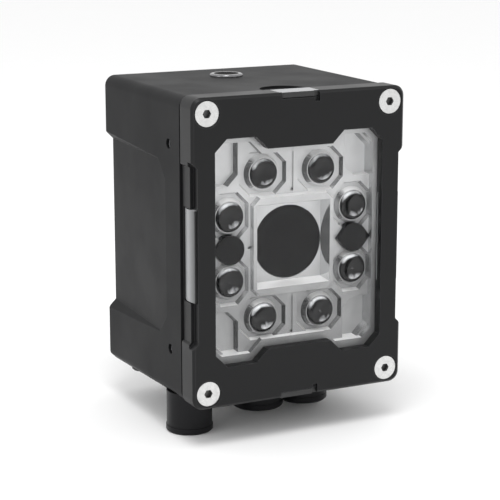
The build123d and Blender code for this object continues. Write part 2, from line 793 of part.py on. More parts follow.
def switch_post_x(side):
    """Place of one of the two bosses that hang from the top to carry the switch."""
    return BUTTON_X + side * (SWITCH_BOARD_W / 2 - SWITCH_POST_R)


def button_bezel():
    """Metal ring around the button, with a sleeve through the top and a floor for the spring."""
    bore_r = BUTTON_R + BUTTON_CLEARANCE
    flange = upright(BUTTON_X, BUTTON_AT, HOUSING_TOP, HOUSING_TOP + BEZEL_H, BEZEL_R)
    flange = fillet(flange.edges().sort_by(Axis.Z)[-1], BEZEL_EDGE)
    bezel = flange + upright(BUTTON_X, BUTTON_AT, SLEEVE_BOTTOM, HOUSING_TOP, SLEEVE_R)
    bezel -= upright(BUTTON_X, BUTTON_AT, SLEEVE_BOTTOM + SLEEVE_FLOOR, HOUSING_TOP + BEZEL_H, bore_r)
    return bezel - upright(BUTTON_X, BUTTON_AT, SLEEVE_BOTTOM, HOUSING_TOP, STEM_R + STEM_CLEARANCE)


def push_button():
    """Round button with a stem that reaches down to the switch."""
    cap = upright(BUTTON_X, BUTTON_AT, BUTTON_BOTTOM, BUTTON_TOP, BUTTON_R)
    cap = fillet(cap.edges().sort_by(Axis.Z)[-1], BUTTON_EDGE)
    return cap + upright(BUTTON_X, BUTTON_AT, STEM_BOTTOM, BUTTON_BOTTOM, STEM_R)


def button_clip():
    """Ring on the stem that keeps the button from coming out."""
    top = SLEEVE_BOTTOM - CLIP_GAP
    ring = upright(BUTTON_X, BUTTON_AT, top - CLIP_T, top, CLIP_R)
    return ring - upright(BUTTON_X, BUTTON_AT, top - CLIP_T, top, STEM_R)


def button_spring():
    """Coil spring between the sleeve's floor and the button."""
    low = SLEEVE_BOTTOM + SLEEVE_FLOOR + SPRING_WIRE / 2 + SPRING_GAP
    height = BUTTON_BOTTOM - SPRING_WIRE / 2 - SPRING_GAP - low
    path = Helix(height / SPRING_TURNS, height, SPRING_R)
    wire = Plane(path @ 0, z_dir=path % 0) * Circle(SPRING_WIRE / 2)
    return Pos(BUTTON_X, BUTTON_AT - BODY_D, low) * sweep(wire, path=path, is_frenet=True)


def button_switch():
    """Small switch with a plunger under the button's stem."""
    align = (Align.CENTER, Align.CENTER, Align.MIN)
    body = Box(SWITCH_SIZE, SWITCH_SIZE, SWITCH_T, align=align)
    body = Pos(BUTTON_X, BUTTON_AT - BODY_D, SWITCH_BOARD_TOP) * body
    return body + upright(BUTTON_X, BUTTON_AT, SWITCH_TOP - PLUNGER_H, SWITCH_TOP, PLUNGER_R)


def switch_board():
    """Small board that hangs from two bosses and carries the switch."""
    board = Box(SWITCH_BOARD_W, SWITCH_BOARD_D, BOARD_T)
    return Pos(BUTTON_X, BUTTON_AT - BODY_D, SWITCH_BOARD_TOP - BOARD_T / 2) * board


def connector_shell(place, radius, drop):
    """Threaded metal shell of a round connector, with a neck through the housing's bottom."""
    x, depth = place
    top = -HOUSING_TOP
    mouth = top - drop
    shell = upright(x, depth, mouth, top, radius)
    shell += upright(x, depth, mouth, mouth + LIP_BAND, radius + LIP_STEP)
    shell = chamfer(shell.edges().filter_by(GeomType.CIRCLE).sort_by(Axis.Z)[0], SHELL_EDGE)
    shell += upright(x, depth, top, top + NECK_RISE, NECK_R)
    shell -= upright(x, depth, mouth, mouth + THREAD_LENGTH, THREAD_R)
    return shell - upright(x, depth, mouth, top + NECK_RISE, NECK_R - NECK_WALL)


def connector_insert(place, drop, insert_sink):
    """Insulating insert that fills the shell behind its socket."""
    x, depth = place
    face = -HOUSING_TOP - drop + insert_sink
    return upright(x, depth, face, NECK_RISE - HOUSING_TOP, NECK_R - NECK_WALL - INSERT_GAP)


def vent_plug():
    """Low round plug over the housing's vent hole, with a slot for a coin or screwdriver."""
    x, depth = VENT_AT
    face = -HOUSING_TOP - VENT_DROP
    plug = upright(x, depth, face, -HOUSING_TOP, VENT_R)
    plug = chamfer(plug.edges().sort_by(Axis.Z)[0], VENT_EDGE)
    plug += upright(x, depth, -HOUSING_TOP, VENT_STEM - HOUSING_TOP, VENT_STEM_R)
    slot = Pos(x, depth - BODY_D, face) * Box(2 * VENT_R, VENT_SLOT, VENT_SLOT)
    return plug - slot


def contact_places(place, count):
    """Places of a connector's contacts, evenly spaced on a circle."""
    x, depth = place
    circle = THREAD_R * CONTACT_CIRCLE
    turn = 2 * math.pi / count
    return [
        (x + circle * math.sin(i * turn), depth + circle * math.cos(i * turn)) for i in range(count)
    ]


def holed_insert(place, drop, insert_sink, count):
    """Insert with a round hole for each contact of the mating plug."""
    insert = connector_insert(place, drop, insert_sink)
    face = -HOUSING_TOP - drop + insert_sink
    for x, depth in contact_places(place, count):
        insert -= upright(x, depth, face, face + PIN_H, CONTACT_R)
    return insert


def power_pins():
    """Contact pins that stand out of the power connector's insert."""
    face = -HOUSING_TOP - POWER_DROP + POWER_INSERT_SINK
    return [
        upright(x, depth, face - PIN_H, face, PIN_R)
        for x, depth in contact_places(POWER_AT, POWER_PINS)
    ]


def build():
    """Every piece of the reader, by node name."""
    parts = {
        "main_housing": main_housing(),
        "front_cover": front_cover(),
        "housing_gasket": housing_gasket(),
        "window_seal": window_seal(),
        "front_window": front_window(),
        "reflector_plate": reflector_plate(),
        "led_board": led_board(),
        "aimer_window_left": aimer_window(-1),
        "aimer_window_right": aimer_window(1),
        "light_bar_left": side_light_bar(-1),
        "light_bar_right": side_light_bar(1),
        "light_bar_top": cap_light_bar(1),
        "light_bar_bottom": cap_light_bar(-1),
        "port_window": port_window(),
        "lens_barrel": lens_barrel(),
        "front_lens": camera_lens(BARREL_FRONT + BARREL_LENGTH / 4),
        "rear_lens": camera_lens(BARREL_FRONT + BARREL_LENGTH * 3 / 4),
        "image_sensor": image_sensor(),
        "camera_board": camera_board(),
        "board_posts": board_posts(),
        "main_board": main_board(),
        "processor_chip": processor_chip(),
        "button_bezel": button_bezel(),
        "push_button": push_button(),
        "button_clip": button_clip(),
        "button_spring": button_spring(),
        "button_switch": button_switch(),
        "switch_board": switch_board(),
        "power_shell": connector_shell(POWER_AT, POWER_R, POWER_DROP),
        "power_insert": connector_insert(POWER_AT, POWER_DROP, POWER_INSERT_SINK),
        "power_pins": power_pins(),
        "network_shell": connector_shell(NETWORK_AT, NETWORK_R, NETWORK_DROP),
        "network_insert": holed_insert(NETWORK_AT, NETWORK_DROP, SOCKET_INSERT_SINK, NETWORK_CONTACTS),
        "light_shell": connector_shell(LIGHT_AT, LIGHT_R, LIGHT_DROP),
        "vent_plug": vent_plug(),
        "light_insert": holed_insert(LIGHT_AT, LIGHT_DROP, SOCKET_INSERT_SINK, LIGHT_CONTACTS),
    }
    for number, (x, z) in enumerate(lamp_places(), 1):
        parts[f"lamp_lens_{number}"] = lamp_lens(x, z)
        parts[f"lamp_{number}"] = lamp(x, z)
    for number, (x, z) in enumerate(all_quarters(SCREW_X, SCREW_Z), 1):
        parts[f"front_screw_{number}"] = front_screw(x, z)
    return parts


def main():
    """Writes one file for each piece."""
    os.makedirs("parts", exist_ok=True)
    for name, shape in build().items():
        solids = shape if isinstance(shape, list) else shape.solids()
        export_step(Compound(children=list(solids)), f"parts/{name}.step")


main()
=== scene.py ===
"""Looks of a fixed-mount code reader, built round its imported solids. Lengths are in metres."""

import json
import math

import bpy
from bpy.props import FloatProperty, FloatVectorProperty, IntProperty, PointerProperty
from mathutils import Matrix, Vector


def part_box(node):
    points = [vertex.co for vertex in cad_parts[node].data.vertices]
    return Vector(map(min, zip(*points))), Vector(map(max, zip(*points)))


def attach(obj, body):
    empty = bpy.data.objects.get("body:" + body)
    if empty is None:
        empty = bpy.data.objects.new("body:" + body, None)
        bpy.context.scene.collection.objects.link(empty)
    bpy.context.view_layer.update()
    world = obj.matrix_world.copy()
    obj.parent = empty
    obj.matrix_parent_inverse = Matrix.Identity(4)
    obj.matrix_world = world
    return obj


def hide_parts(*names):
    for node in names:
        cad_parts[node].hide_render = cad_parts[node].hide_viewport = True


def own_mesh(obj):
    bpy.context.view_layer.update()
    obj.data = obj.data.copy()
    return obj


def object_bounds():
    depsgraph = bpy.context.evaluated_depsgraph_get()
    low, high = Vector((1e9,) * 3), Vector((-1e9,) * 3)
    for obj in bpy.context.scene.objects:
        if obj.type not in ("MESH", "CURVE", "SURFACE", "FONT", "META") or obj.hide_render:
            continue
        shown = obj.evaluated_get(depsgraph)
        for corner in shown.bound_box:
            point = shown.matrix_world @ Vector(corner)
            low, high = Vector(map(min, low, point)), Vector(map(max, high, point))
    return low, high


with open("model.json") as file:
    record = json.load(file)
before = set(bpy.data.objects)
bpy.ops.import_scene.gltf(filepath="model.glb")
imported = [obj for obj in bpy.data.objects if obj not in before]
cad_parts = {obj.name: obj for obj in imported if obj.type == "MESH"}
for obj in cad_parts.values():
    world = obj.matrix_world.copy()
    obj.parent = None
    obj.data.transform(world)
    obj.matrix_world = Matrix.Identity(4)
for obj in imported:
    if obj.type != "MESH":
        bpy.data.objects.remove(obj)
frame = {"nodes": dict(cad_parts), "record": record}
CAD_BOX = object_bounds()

bl_info = {
    "name": "Code reader looks",
    "version": (1, 0, 0),
    "blender": (4, 5, 0),
    "location": "3D View > Sidebar > Reader",
    "description": "Finishes and small pieces of a fixed-mount code reader",
    "category": "Object",
}

MOUNTS = {mount["name"]: mount for mount in frame["record"]["mounts"]}
MM = 0.001
UP = Vector((0, 0, 1))
LEFT = Vector((-1, 0, 0))
FRONT = Vector((0, -1, 0))

# Threads and contact sleeves, as shares of the pitch and of the wall
RIDGE_HEIGHT = 0.32
RIDGE_WIDTH = 1 / 2.1
SLEEVE_RIM = 1 / 3

# Link between the boards, as shares of the gap, of the pitch and of the socket's height
SOCKET_HEIGHT = 0.6
PLUG_HEIGHT = 0.18
PIN_LENGTH = 0.75
PIN_WIDTH = 0.3
PIT_WALL = 0.28
PIT_DEPTH = 0.7

# Places of the board parts: a clearance, then shares of the rows' reach, of a coil's width and of
# the pins' pitch
CHIP_GAP = 2.2 * MM
CAMERA_ROWS = 1.5
COIL_SPACING = 1.3
LINK_RISE = 4

# Capacitor's body and ends: length as a share of its own, then width and height as shares of its width
CAPACITOR_BODY = (0.92, 0.94, 0.9)
CAPACITOR_END = (0.22, 1.0, 0.95)
END_REACH = 0.4

# Lights: place and width
TOP_LIGHT = ((-0.15, -0.35, 0.8), 0.35)
LEFT_LIGHT = ((-0.9, -0.1, 0.35), 0.4)

# Noise's usual values, and sizes and directions that the finishes' patterns keep to
USUAL = (0.3, 0.7)
RUBBED_EDGE = 0.5 * MM
SCREW_RING = 0.22 * MM
# Depths into the screw sockets over which the painted shade darkens
SCREW_SHADE = (0.15 * MM, 1.2 * MM)
# Share of the port window that bounds the camera's well, outside which the reflector's left-facing
# walls get painted shade
WELL_SHARE = 1.4
# Direction that the lamp lenses' painted highlight faces
PAINTED_HIGHLIGHT_DIRECTION = Vector((-0.3, -0.45, 0.84)).normalized()

# Colours of what shows little
# Painted light on the reflector's ledges
PAINTED_LEDGE_LIGHT = (0.92, 0.92, 0.92)
# Painted highlight on the lamp lenses
PAINTED_LENS_HIGHLIGHT = (0.75, 0.76, 0.78)
PHOSPHOR = (0.7, 0.55, 0.15)
RUBBER = (0.006, 0.006, 0.006)
BARREL = (0.006, 0.006, 0.006)
BARREL_EDGE = (0.03, 0.03, 0.03)
BUTTON_CAP = (0.003, 0.003, 0.003)
BLACK_PLASTIC = (0.01, 0.01, 0.01)
LINK_PLASTIC = (0.01, 0.01, 0.011)
PANE = (0.9, 0.91, 0.92)
SOLDER_MASK = (0.01, 0.09, 0.035)
COPPER_TRACK = (0.02, 0.13, 0.047)
TINNED_HOLE = (0.6, 0.6, 0.58)
CHIP_CASE = (0.012, 0.012, 0.012)
LENS_GLASS = (0.01, 0.012, 0.02)
SPRING_STEEL = (0.55, 0.55, 0.55)
BEZEL_STEEL = (0.2, 0.2, 0.205)
CUT_METAL = (0.12, 0.12, 0.125)
GOLD = (0.75, 0.52, 0.2)
TIN = (0.6, 0.6, 0.61)
CERAMIC = (0.16, 0.085, 0.04)
FERRITE = (0.03, 0.03, 0.032)


def colour_property(name, description, default):
    """Colour of one finish, as a property that a user can change."""
    return FloatVectorProperty(
        name=name, description=description, default=default, subtype="COLOR", size=3, min=0, max=1
    )


def length_property(name, description, default):
    """Length in metres, as a property that a user can change."""
    return FloatProperty(name=name, description=description, default=default, unit="LENGTH")


def power_property(name, description, default):
    """Power in watts, as a property that a user can change."""
    return FloatProperty(name=name, description=description, default=default, unit="POWER")


def count_property(name, description, default):
    """Whole number, as a property that a user can change."""
    return IntProperty(name=name, description=description, default=default, min=1)


class ReaderFinishes(bpy.types.PropertyGroup):
    """Colours of the reader's finishes."""

    housing: colour_property("Housing", "Coating of the cast housing", (0.007, 0.0071, 0.0076))
    cover: colour_property("Cover", "Coating of the front cover", (0.0045, 0.0046, 0.005))
    edge: colour_property("Edge", "Coating where an edge is rubbed", (0.03, 0.0305, 0.032))
    reflector: colour_property("Reflector", "Metal film on the reflector", (0.66, 0.665, 0.67))
    smoke: colour_property("Smoke", "Dark lamp lenses and windows", (0.002, 0.002, 0.0024))
    diffuser: colour_property("Diffuser", "Milky light bars", (0.26, 0.264, 0.27))
    screw: colour_property("Screw", "Steel of the cover screws", (0.68, 0.68, 0.675))
    plating: colour_property("Plating", "Dark plating of the connectors", (0.007, 0.007, 0.008))


class ReaderSizes(bpy.types.PropertyGroup):
    """Sizes of the small pieces that the solids leave out."""

    # Depth past which the reflector's film is painted paler, as painted light in the pockets
    pocket_depth: length_property("Pocket depth", "Where the reflector's film turns paler", 3.3 * MM)
    hole_pitch: length_property("Hole pitch", "Rise of a mounting thread in one turn", 0.7 * MM)
    hole_thread: length_property("Hole thread", "Threaded length of a mounting hole", 4.2 * MM)
    socket_pitch: length_property("Socket pitch", "Rise of a socket thread in one turn", 1.0 * MM)
    socket_thread: length_property("Socket thread", "Threaded length of a socket", 4.6 * MM)
    sleeve_radius: length_property("Sleeve radius", "Outer radius of a contact sleeve", 0.44 * MM)
    sleeve_wall: length_property("Sleeve wall", "Wall of a contact sleeve", 0.1 * MM)
    sleeve_length: length_property("Sleeve length", "Length of a contact sleeve", 2.0 * MM)
    contact_circle: FloatProperty(
        name="Contact circle", description="Contacts' circle as a share of the thread's", default=0.55
    )
    network_contacts: count_property("Network contacts", "Contacts of one socket", 8)
    light_contacts: count_property("Light contacts", "Contacts of the other socket", 5)
    capacitor_length: length_property("Capacitor length", "Length of a capacitor", 1.6 * MM)
    capacitor_width: length_property("Capacitor width", "Width of a capacitor", 0.8 * MM)
    capacitor_spacing: length_property("Capacitor spacing", "From one capacitor to the next", 2.4 * MM)
    capacitors: count_property("Capacitors", "Capacitors in a row", 7)
    coil_width: length_property("Coil width", "Width of a supply coil", 6.0 * MM)
    coil_height: length_property("Coil height", "Height of a supply coil", 3.0 * MM)
    pin_pitch: length_property("Pin pitch", "Distance between pins of the board link", 2.0 * MM)
    pin_count: count_property("Pins", "Pins in one of the link's rows", 10)
    spring_wire: length_property("Spring wire", "Thickness of the button spring's wire", 0.4 * MM)
    spring_turns: count_property("Spring turns", "Turns of the button spring", 4)
    turn_steps: count_property("Steps", "Steps in one turn of a thread", 40)


class ReaderStage(bpy.types.PropertyGroup):
    """Floor, light and camera."""

    floor: colour_property("Floor", "Colour of the floor", (0.95, 0.95, 0.95))
    floor_size: length_property("Floor size", "Half the width of the floor", 8.0)
    air: FloatProperty(name="Air", description="Strength of the even light all round", default=1.0)
    top_power: power_property("Top power", "Power of the light above", 3.0)
    left_power: power_property("Left power", "Power of the light at the left", 1.0)
    lens: FloatProperty(name="Lens", description="Focal length on 36 mm film", default=120.2)
    eye: FloatVectorProperty(
        name="Eye", description="Place of the camera", default=(-0.2426, -0.5210, 0.1161), unit="LENGTH"
    )
    look: FloatVectorProperty(
        name="Look", description="Direction that the camera looks in", default=(0.4350, 0.8723, -0.2231)
    )


# Modelling


def deselect():
    """Leaves object mode on and nothing selected."""
    if bpy.context.object and bpy.context.object.mode != "OBJECT":
        bpy.ops.object.mode_set(mode="OBJECT")
    bpy.ops.object.select_all(action="DESELECT")


def keep(piece, name, material):
    """Names a finished piece, gives it its finish and lets it ride on the reader."""
    piece.name = piece.data.name = name
    piece.data.materials.clear()
    piece.data.materials.append(material)
    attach(piece, "root")
    return piece


def settle(piece, matrix):
    """Moves a piece to its place and writes the place into its mesh."""
    deselect()
    piece.matrix_world = matrix
    piece.select_set(True)
    bpy.context.view_layer.objects.active = piece
    bpy.ops.object.transform_apply(location=True, rotation=True, scale=True)


def wound(profile, pitch, turns, steps):
    """Winds a profile up Z in so many turns and closes both ends."""
    helix = profile.modifiers.new("turns", "SCREW")
    helix.screw_offset = pitch
    helix.iterations = turns
    helix.steps = helix.render_steps = steps
    bpy.ops.object.modifier_apply(modifier="turns")
    bpy.ops.object.mode_set(mode="EDIT")
    bpy.ops.mesh.select_mode(type="VERT")
    bpy.ops.mesh.select_all(action="DESELECT")
    bpy.ops.mesh.select_non_manifold()
    bpy.ops.mesh.fill_holes(sides=0)
    bpy.ops.mesh.select_all(action="SELECT")
    bpy.ops.mesh.normals_make_consistent(inside=False)
    bpy.ops.object.mode_set(mode="OBJECT")
    return profile


def thread_ridge(radius, depth, pitch, length, steps):
    """Helical ridge that stands inwards from a bore's wall, from 0 up to its length along Z."""
    deselect()
    bpy.ops.mesh.primitive_circle_add(vertices=3, radius=depth, fill_type="NOTHING")
    ridge = bpy.context.object
    bpy.ops.object.mode_set(mode="EDIT")
    bpy.ops.mesh.select_all(action="SELECT")
    quarter = math.pi / 2
    bpy.ops.transform.rotate(value=quarter, orient_axis="Z", center_override=(0, 0, 0))
    bpy.ops.transform.rotate(value=quarter, orient_axis="X", center_override=(0, 0, 0))
    bpy.ops.transform.resize(value=(1, 1, RIDGE_WIDTH * pitch / depth), center_override=(0, 0, 0))
    bpy.ops.transform.translate(value=(radius, 0, pitch / 2))
    bpy.ops.object.mode_set(mode="OBJECT")
    return wound(ridge, pitch, max(1, int(length / pitch - 1)), steps)


def coil_spring(radius, wire, turns, height, steps):
    """Spring of round wire whose coils reach a radius, from 0 up to its height along Z."""
    deselect()
    bpy.ops.mesh.primitive_circle_add(vertices=12, radius=wire / 2, fill_type="NOTHING")
    coil = bpy.context.object
    bpy.ops.object.mode_set(mode="EDIT")
    bpy.ops.mesh.select_all(action="SELECT")
    bpy.ops.transform.rotate(value=math.pi / 2, orient_axis="X", center_override=(0, 0, 0))
    bpy.ops.transform.translate(value=(radius - wire / 2, 0, wire / 2))
    bpy.ops.object.mode_set(mode="OBJECT")
    return wound(coil, (height - wire) / turns, turns, steps)


def copy_of(piece):
    """Copy of a piece with its own mesh."""
    twin = piece.copy()
    twin.data = piece.data.copy()
    bpy.context.scene.collection.objects.link(twin)
    return twin


def into_hole(place, axis):
    """Matrix that sets something modelled up Z into a hole whose axis points out of its mouth."""
    turn = UP.rotation_difference(-Vector(axis))
    return Matrix.Translation(Vector(place)) @ turn.to_matrix().to_4x4()


def contact_sleeve(radius, wall, length):
    """Open metal sleeve round one contact, with rounded rims, from 0 up to its length along Z."""
    deselect()
    bpy.ops.mesh.primitive_cylinder_add(
        vertices=20, radius=radius, depth=length, end_fill_type="NOTHING", location=(0, 0, length / 2)
    )
    sleeve = bpy.context.object
    bpy.ops.object.transform_apply(location=True)
    tube = sleeve.modifiers.new("tube", "SOLIDIFY")
    tube.thickness = wall
    tube.offset = -1
    bpy.ops.object.modifier_apply(modifier="tube")
    rim = sleeve.modifiers.new("rim", "BEVEL")
    rim.width = SLEEVE_RIM * wall
    rim.segments = 2
    bpy.ops.object.modifier_apply(modifier="rim")
    return sleeve


def slanted_block(size, height, soften, taper=1.0):
    """Moulded block that stands on 0 along Z, a little narrower at its top, with softened edges."""
    deselect()
    bpy.ops.mesh.primitive_plane_add(size=1)
    block = bpy.context.object
    bpy.ops.object.mode_set(mode="EDIT")
    bpy.ops.transform.resize(value=(size[0], size[1], 1), center_override=(0, 0, 0))
    bpy.ops.mesh.extrude_region_move(TRANSFORM_OT_translate={"value": (0, 0, height)})
    bpy.ops.transform.resize(value=(taper, taper, 1), center_override=(0, 0, height))
    bpy.ops.mesh.select_all(action="SELECT")
    bpy.ops.mesh.normals_make_consistent(inside=False)
    bpy.ops.object.mode_set(mode="OBJECT")
    edges = block.modifiers.new("edges", "BEVEL")
    edges.width = soften
    edges.segments = 3
    bpy.ops.object.modifier_apply(modifier="edges")
    return block


def wound_coil(width, height):
    """Square inductor with cut corners and a round core that stands a little above its case."""
    lip, sink = 0.05 * height, 0.2 * height
    case = slanted_block((width, width), height=0.85 * height, soften=0.12 * width)
    deselect()
    bpy.ops.mesh.primitive_circle_add(vertices=32, radius=0.4 * width, fill_type="NGON")
    core = bpy.context.object
    bpy.ops.object.mode_set(mode="EDIT")
    bpy.ops.mesh.select_all(action="SELECT")
    bpy.ops.mesh.extrude_region_move(TRANSFORM_OT_translate={"value": (0, 0, height - lip)})
    bpy.ops.mesh.inset(thickness=0.04 * width)
    bpy.ops.transform.translate(value=(0, 0, lip))
    bpy.ops.mesh.inset(thickness=0.14 * width)
    bpy.ops.mesh.extrude_region_move(TRANSFORM_OT_translate={"value": (0, 0, -sink)})
    bpy.ops.mesh.select_all(action="SELECT")
    bpy.ops.mesh.normals_make_consistent(inside=False)
    return joined([case, core])


def pin_socket(count, pitch, height):
    """Two-row socket that stands on 0 along Z, with a square pit for each pin."""
    deselect()
    bpy.ops.mesh.primitive_grid_add(x_subdivisions=count, y_subdivisions=2, size=1)
    socket = bpy.context.object
    bpy.ops.object.mode_set(mode="EDIT")
    bpy.ops.mesh.select_all(action="SELECT")
    bpy.ops.transform.resize(value=(count * pitch, 2 * pitch, 1), center_override=(0, 0, 0))
    bpy.ops.transform.translate(value=(0, 0, height))
    bpy.ops.mesh.inset(use_individual=True, thickness=PIT_WALL * pitch)
    bpy.ops.mesh.extrude_region_move(TRANSFORM_OT_translate={"value": (0, 0, -PIT_DEPTH * height)})
    bpy.ops.mesh.select_mode(type="EDGE")
    bpy.ops.mesh.select_all(action="DESELECT")
    bpy.ops.mesh.select_non_manifold()
    bpy.ops.mesh.extrude_region_move(TRANSFORM_OT_translate={"value": (0, 0, -height)})
    bpy.ops.mesh.edge_face_add()
    bpy.ops.mesh.select_mode(type="FACE")
    bpy.ops.mesh.select_all(action="SELECT")
    bpy.ops.mesh.normals_make_consistent(inside=False)
    bpy.ops.object.mode_set(mode="OBJECT")
    return socket


def square_pin(width, length):
    """Square pin with drawn-in ends, from 0 up to its length along Z."""
    tip = width / 2
    deselect()
    bpy.ops.mesh.primitive_plane_add(size=width / 2)
    pin = bpy.context.object
    bpy.ops.object.mode_set(mode="EDIT")
    for rise, grow in ((tip, 2.0), (length - 2 * tip, 1.0), (tip, 0.5)):
        bpy.ops.mesh.extrude_region_move(TRANSFORM_OT_translate={"value": (0, 0, rise)})
        bpy.ops.transform.resize(value=(grow, grow, 1))
    bpy.ops.mesh.select_all(action="SELECT")
    bpy.ops.mesh.normals_make_consistent(inside=False)
    bpy.ops.object.mode_set(mode="OBJECT")
    return pin


def joined(pieces):
    """Several pieces made one."""
    deselect()
    for piece in pieces:
        piece.select_set(True)
    bpy.context.view_layer.objects.active = pieces[0]
    bpy.ops.object.join()
    return pieces[0]


def set_out(model, places):
    """One object with a copy of a model at each place; the model itself goes."""
    copies = []
    for matrix in places:
        copies.append(copy_of(model))
        settle(copies[-1], matrix)
    bpy.data.objects.remove(model)
    return joined(copies)


def on_face(x, z, depth, side, turn=0.0):
    """Matrix that stands something modelled up Z on a board: towards the front for side -1."""
    tilt = Matrix.Rotation(-side * math.pi / 2, 4, "X")
    return Matrix.Translation((x, depth, z)) @ tilt @ Matrix.Rotation(turn, 4, "Z")


# Finishes


def times(share, colour):
    """Colour made brighter or darker."""
    return tuple(share * c for c in colour)


class Finish:
    """A material and short calls for the nodes that most finishes use."""

    def __init__(self, name, base, roughness, metallic=0.0):
        self.material = bpy.data.materials.new(name)
        self.material.use_nodes = True
        self.nodes = self.material.node_tree.nodes
        self.links = self.material.node_tree.links
        self.shader = self.nodes["Principled BSDF"]
        self.set("Base Color", (*base, 1))
        self.set("Roughness", roughness)
        self.set("Metallic", metallic)
        self.place = self.nodes.new("ShaderNodeTexCoord").outputs["Object"]

    def set(self, socket, value):
        """Constant on one of the shader's sockets."""
        self.shader.inputs[socket].default_value = value

    def to(self, socket, output):
        """Pattern into one of the shader's sockets."""
        self.links.new(output, self.shader.inputs[socket])

    def feed(self, socket, value):
        """Number, direction, colour or pattern into a node's socket."""
        if isinstance(value, bpy.types.NodeSocket):
            self.links.new(value, socket)
        else:
            socket.default_value = (*value, 1) if socket.type == "RGBA" else value

    def noise(self, scale, detail=3.0, stretch=(1, 1, 1), roughness=0.55):
        """Noise with so many features to the metre, from 0 to 1."""
        node = self.nodes.new("ShaderNodeTexNoise")
        node.inputs["Scale"].default_value = scale
        node.inputs["Detail"].default_value = detail
        node.inputs["Roughness"].default_value = roughness
        turn = self.nodes.new("ShaderNodeMapping")
        turn.inputs["Scale"].default_value = stretch
        self.links.new(self.place, turn.inputs["Vector"])
        self.links.new(turn.outputs["Vector"], node.inputs["Vector"])
        return node.outputs["Fac"]

    def spread(self, value, source, target=(0.0, 1.0)):
        """Pattern with a source range of its values stretched to a target range."""
        node = self.nodes.new("ShaderNodeMapRange")
        self.links.new(value, node.inputs["Value"])
        for socket, number in zip(("From Min", "From Max", "To Min", "To Max"), (*source, *target)):
            node.inputs[socket].default_value = number
        return node.outputs["Result"]

    def at(self, axis):
        """Place along an axis."""
        parts = self.nodes.new("ShaderNodeSeparateXYZ")
        self.links.new(self.place, parts.inputs[0])
        return parts.outputs[axis]

    def reckon(self, first, second=0.0, operation="ADD"):
        """Two patterns put together by arithmetic; the second may be a number."""
        node = self.nodes.new("ShaderNodeMath")
        node.operation = operation
        self.feed(node.inputs[0], first)
        self.feed(node.inputs[1], second)
        return node.outputs[0]

    def between(self, value, first, second):
        """Colour between two others, by a pattern; the first may be a pattern's own colour."""
        node = self.nodes.new("ShaderNodeMix")
        node.data_type = "RGBA"
        self.feed(node.inputs["Factor"], value)
        self.feed(node.inputs["A"], first)
        self.feed(node.inputs["B"], second)
        return node.outputs["Result"]

    def facing(self, direction):
        """How far a face points in a direction, from -1 to 1."""
        face = self.nodes.new("ShaderNodeNewGeometry")
        likeness = self.nodes.new("ShaderNodeVectorMath")
        likeness.operation = "DOT_PRODUCT"
        self.feed(likeness.inputs[0], face.outputs["Normal"])
        self.feed(likeness.inputs[1], direction)
        return likeness.outputs["Value"]

    def rubbed(self, radius):
        """1 at outer edges and corners within a radius of them, and 0 on open faces."""
        bevel = self.nodes.new("ShaderNodeBevel")
        bevel.samples = 4
        bevel.inputs["Radius"].default_value = radius
        return self.spread(self.facing(bevel.outputs["Normal"]), (1.0, 0.85))

    def bump(self, height, distance, strength=1.0, soften=0.0):
        """Relief from a pattern, over edges softened by a radius."""
        node = self.nodes.new("ShaderNodeBump")
        node.inputs["Strength"].default_value = strength
        node.inputs["Distance"].default_value = distance
        self.links.new(height, node.inputs["Height"])
        if soften:
            bevel = self.nodes.new("ShaderNodeBevel")
            bevel.samples = 4
            bevel.inputs["Radius"].default_value = soften
            self.links.new(bevel.outputs["Normal"], node.inputs["Normal"])
        self.to("Normal", node.outputs["Normal"])


def coating(name, base, edge, grain, roughness, relief, shine=0.2):
    """Dark coating on metal: a fine grain, slow shifts in tone, and paler rubbed edges."""
    finish = Finish(name, base, roughness)
    finish.set("Specular IOR Level", shine)
    fine = finish.noise(grain, 2.0)
    broad = finish.noise(45.0, 4.0)
    tone = finish.reckon(finish.spread(fine, (0.35, 0.75)), finish.spread(broad, USUAL, (0.0, 0.5)))
    colour = finish.between(finish.spread(tone, (0.0, 1.5)), base, times(1.5, base))
    patchy = finish.spread(broad, (0.35, 0.65), (0.4, 1.0))
    worn = finish.reckon(finish.rubbed(RUBBED_EDGE), patchy, "MULTIPLY")
    finish.to("Base Color", finish.between(worn, colour, edge))
    finish.to("Roughness", finish.spread(broad, USUAL, (roughness - 0.04, roughness + 0.06)))
    finish.bump(fine, relief, soften=0.25 * MM)
    return finish.material


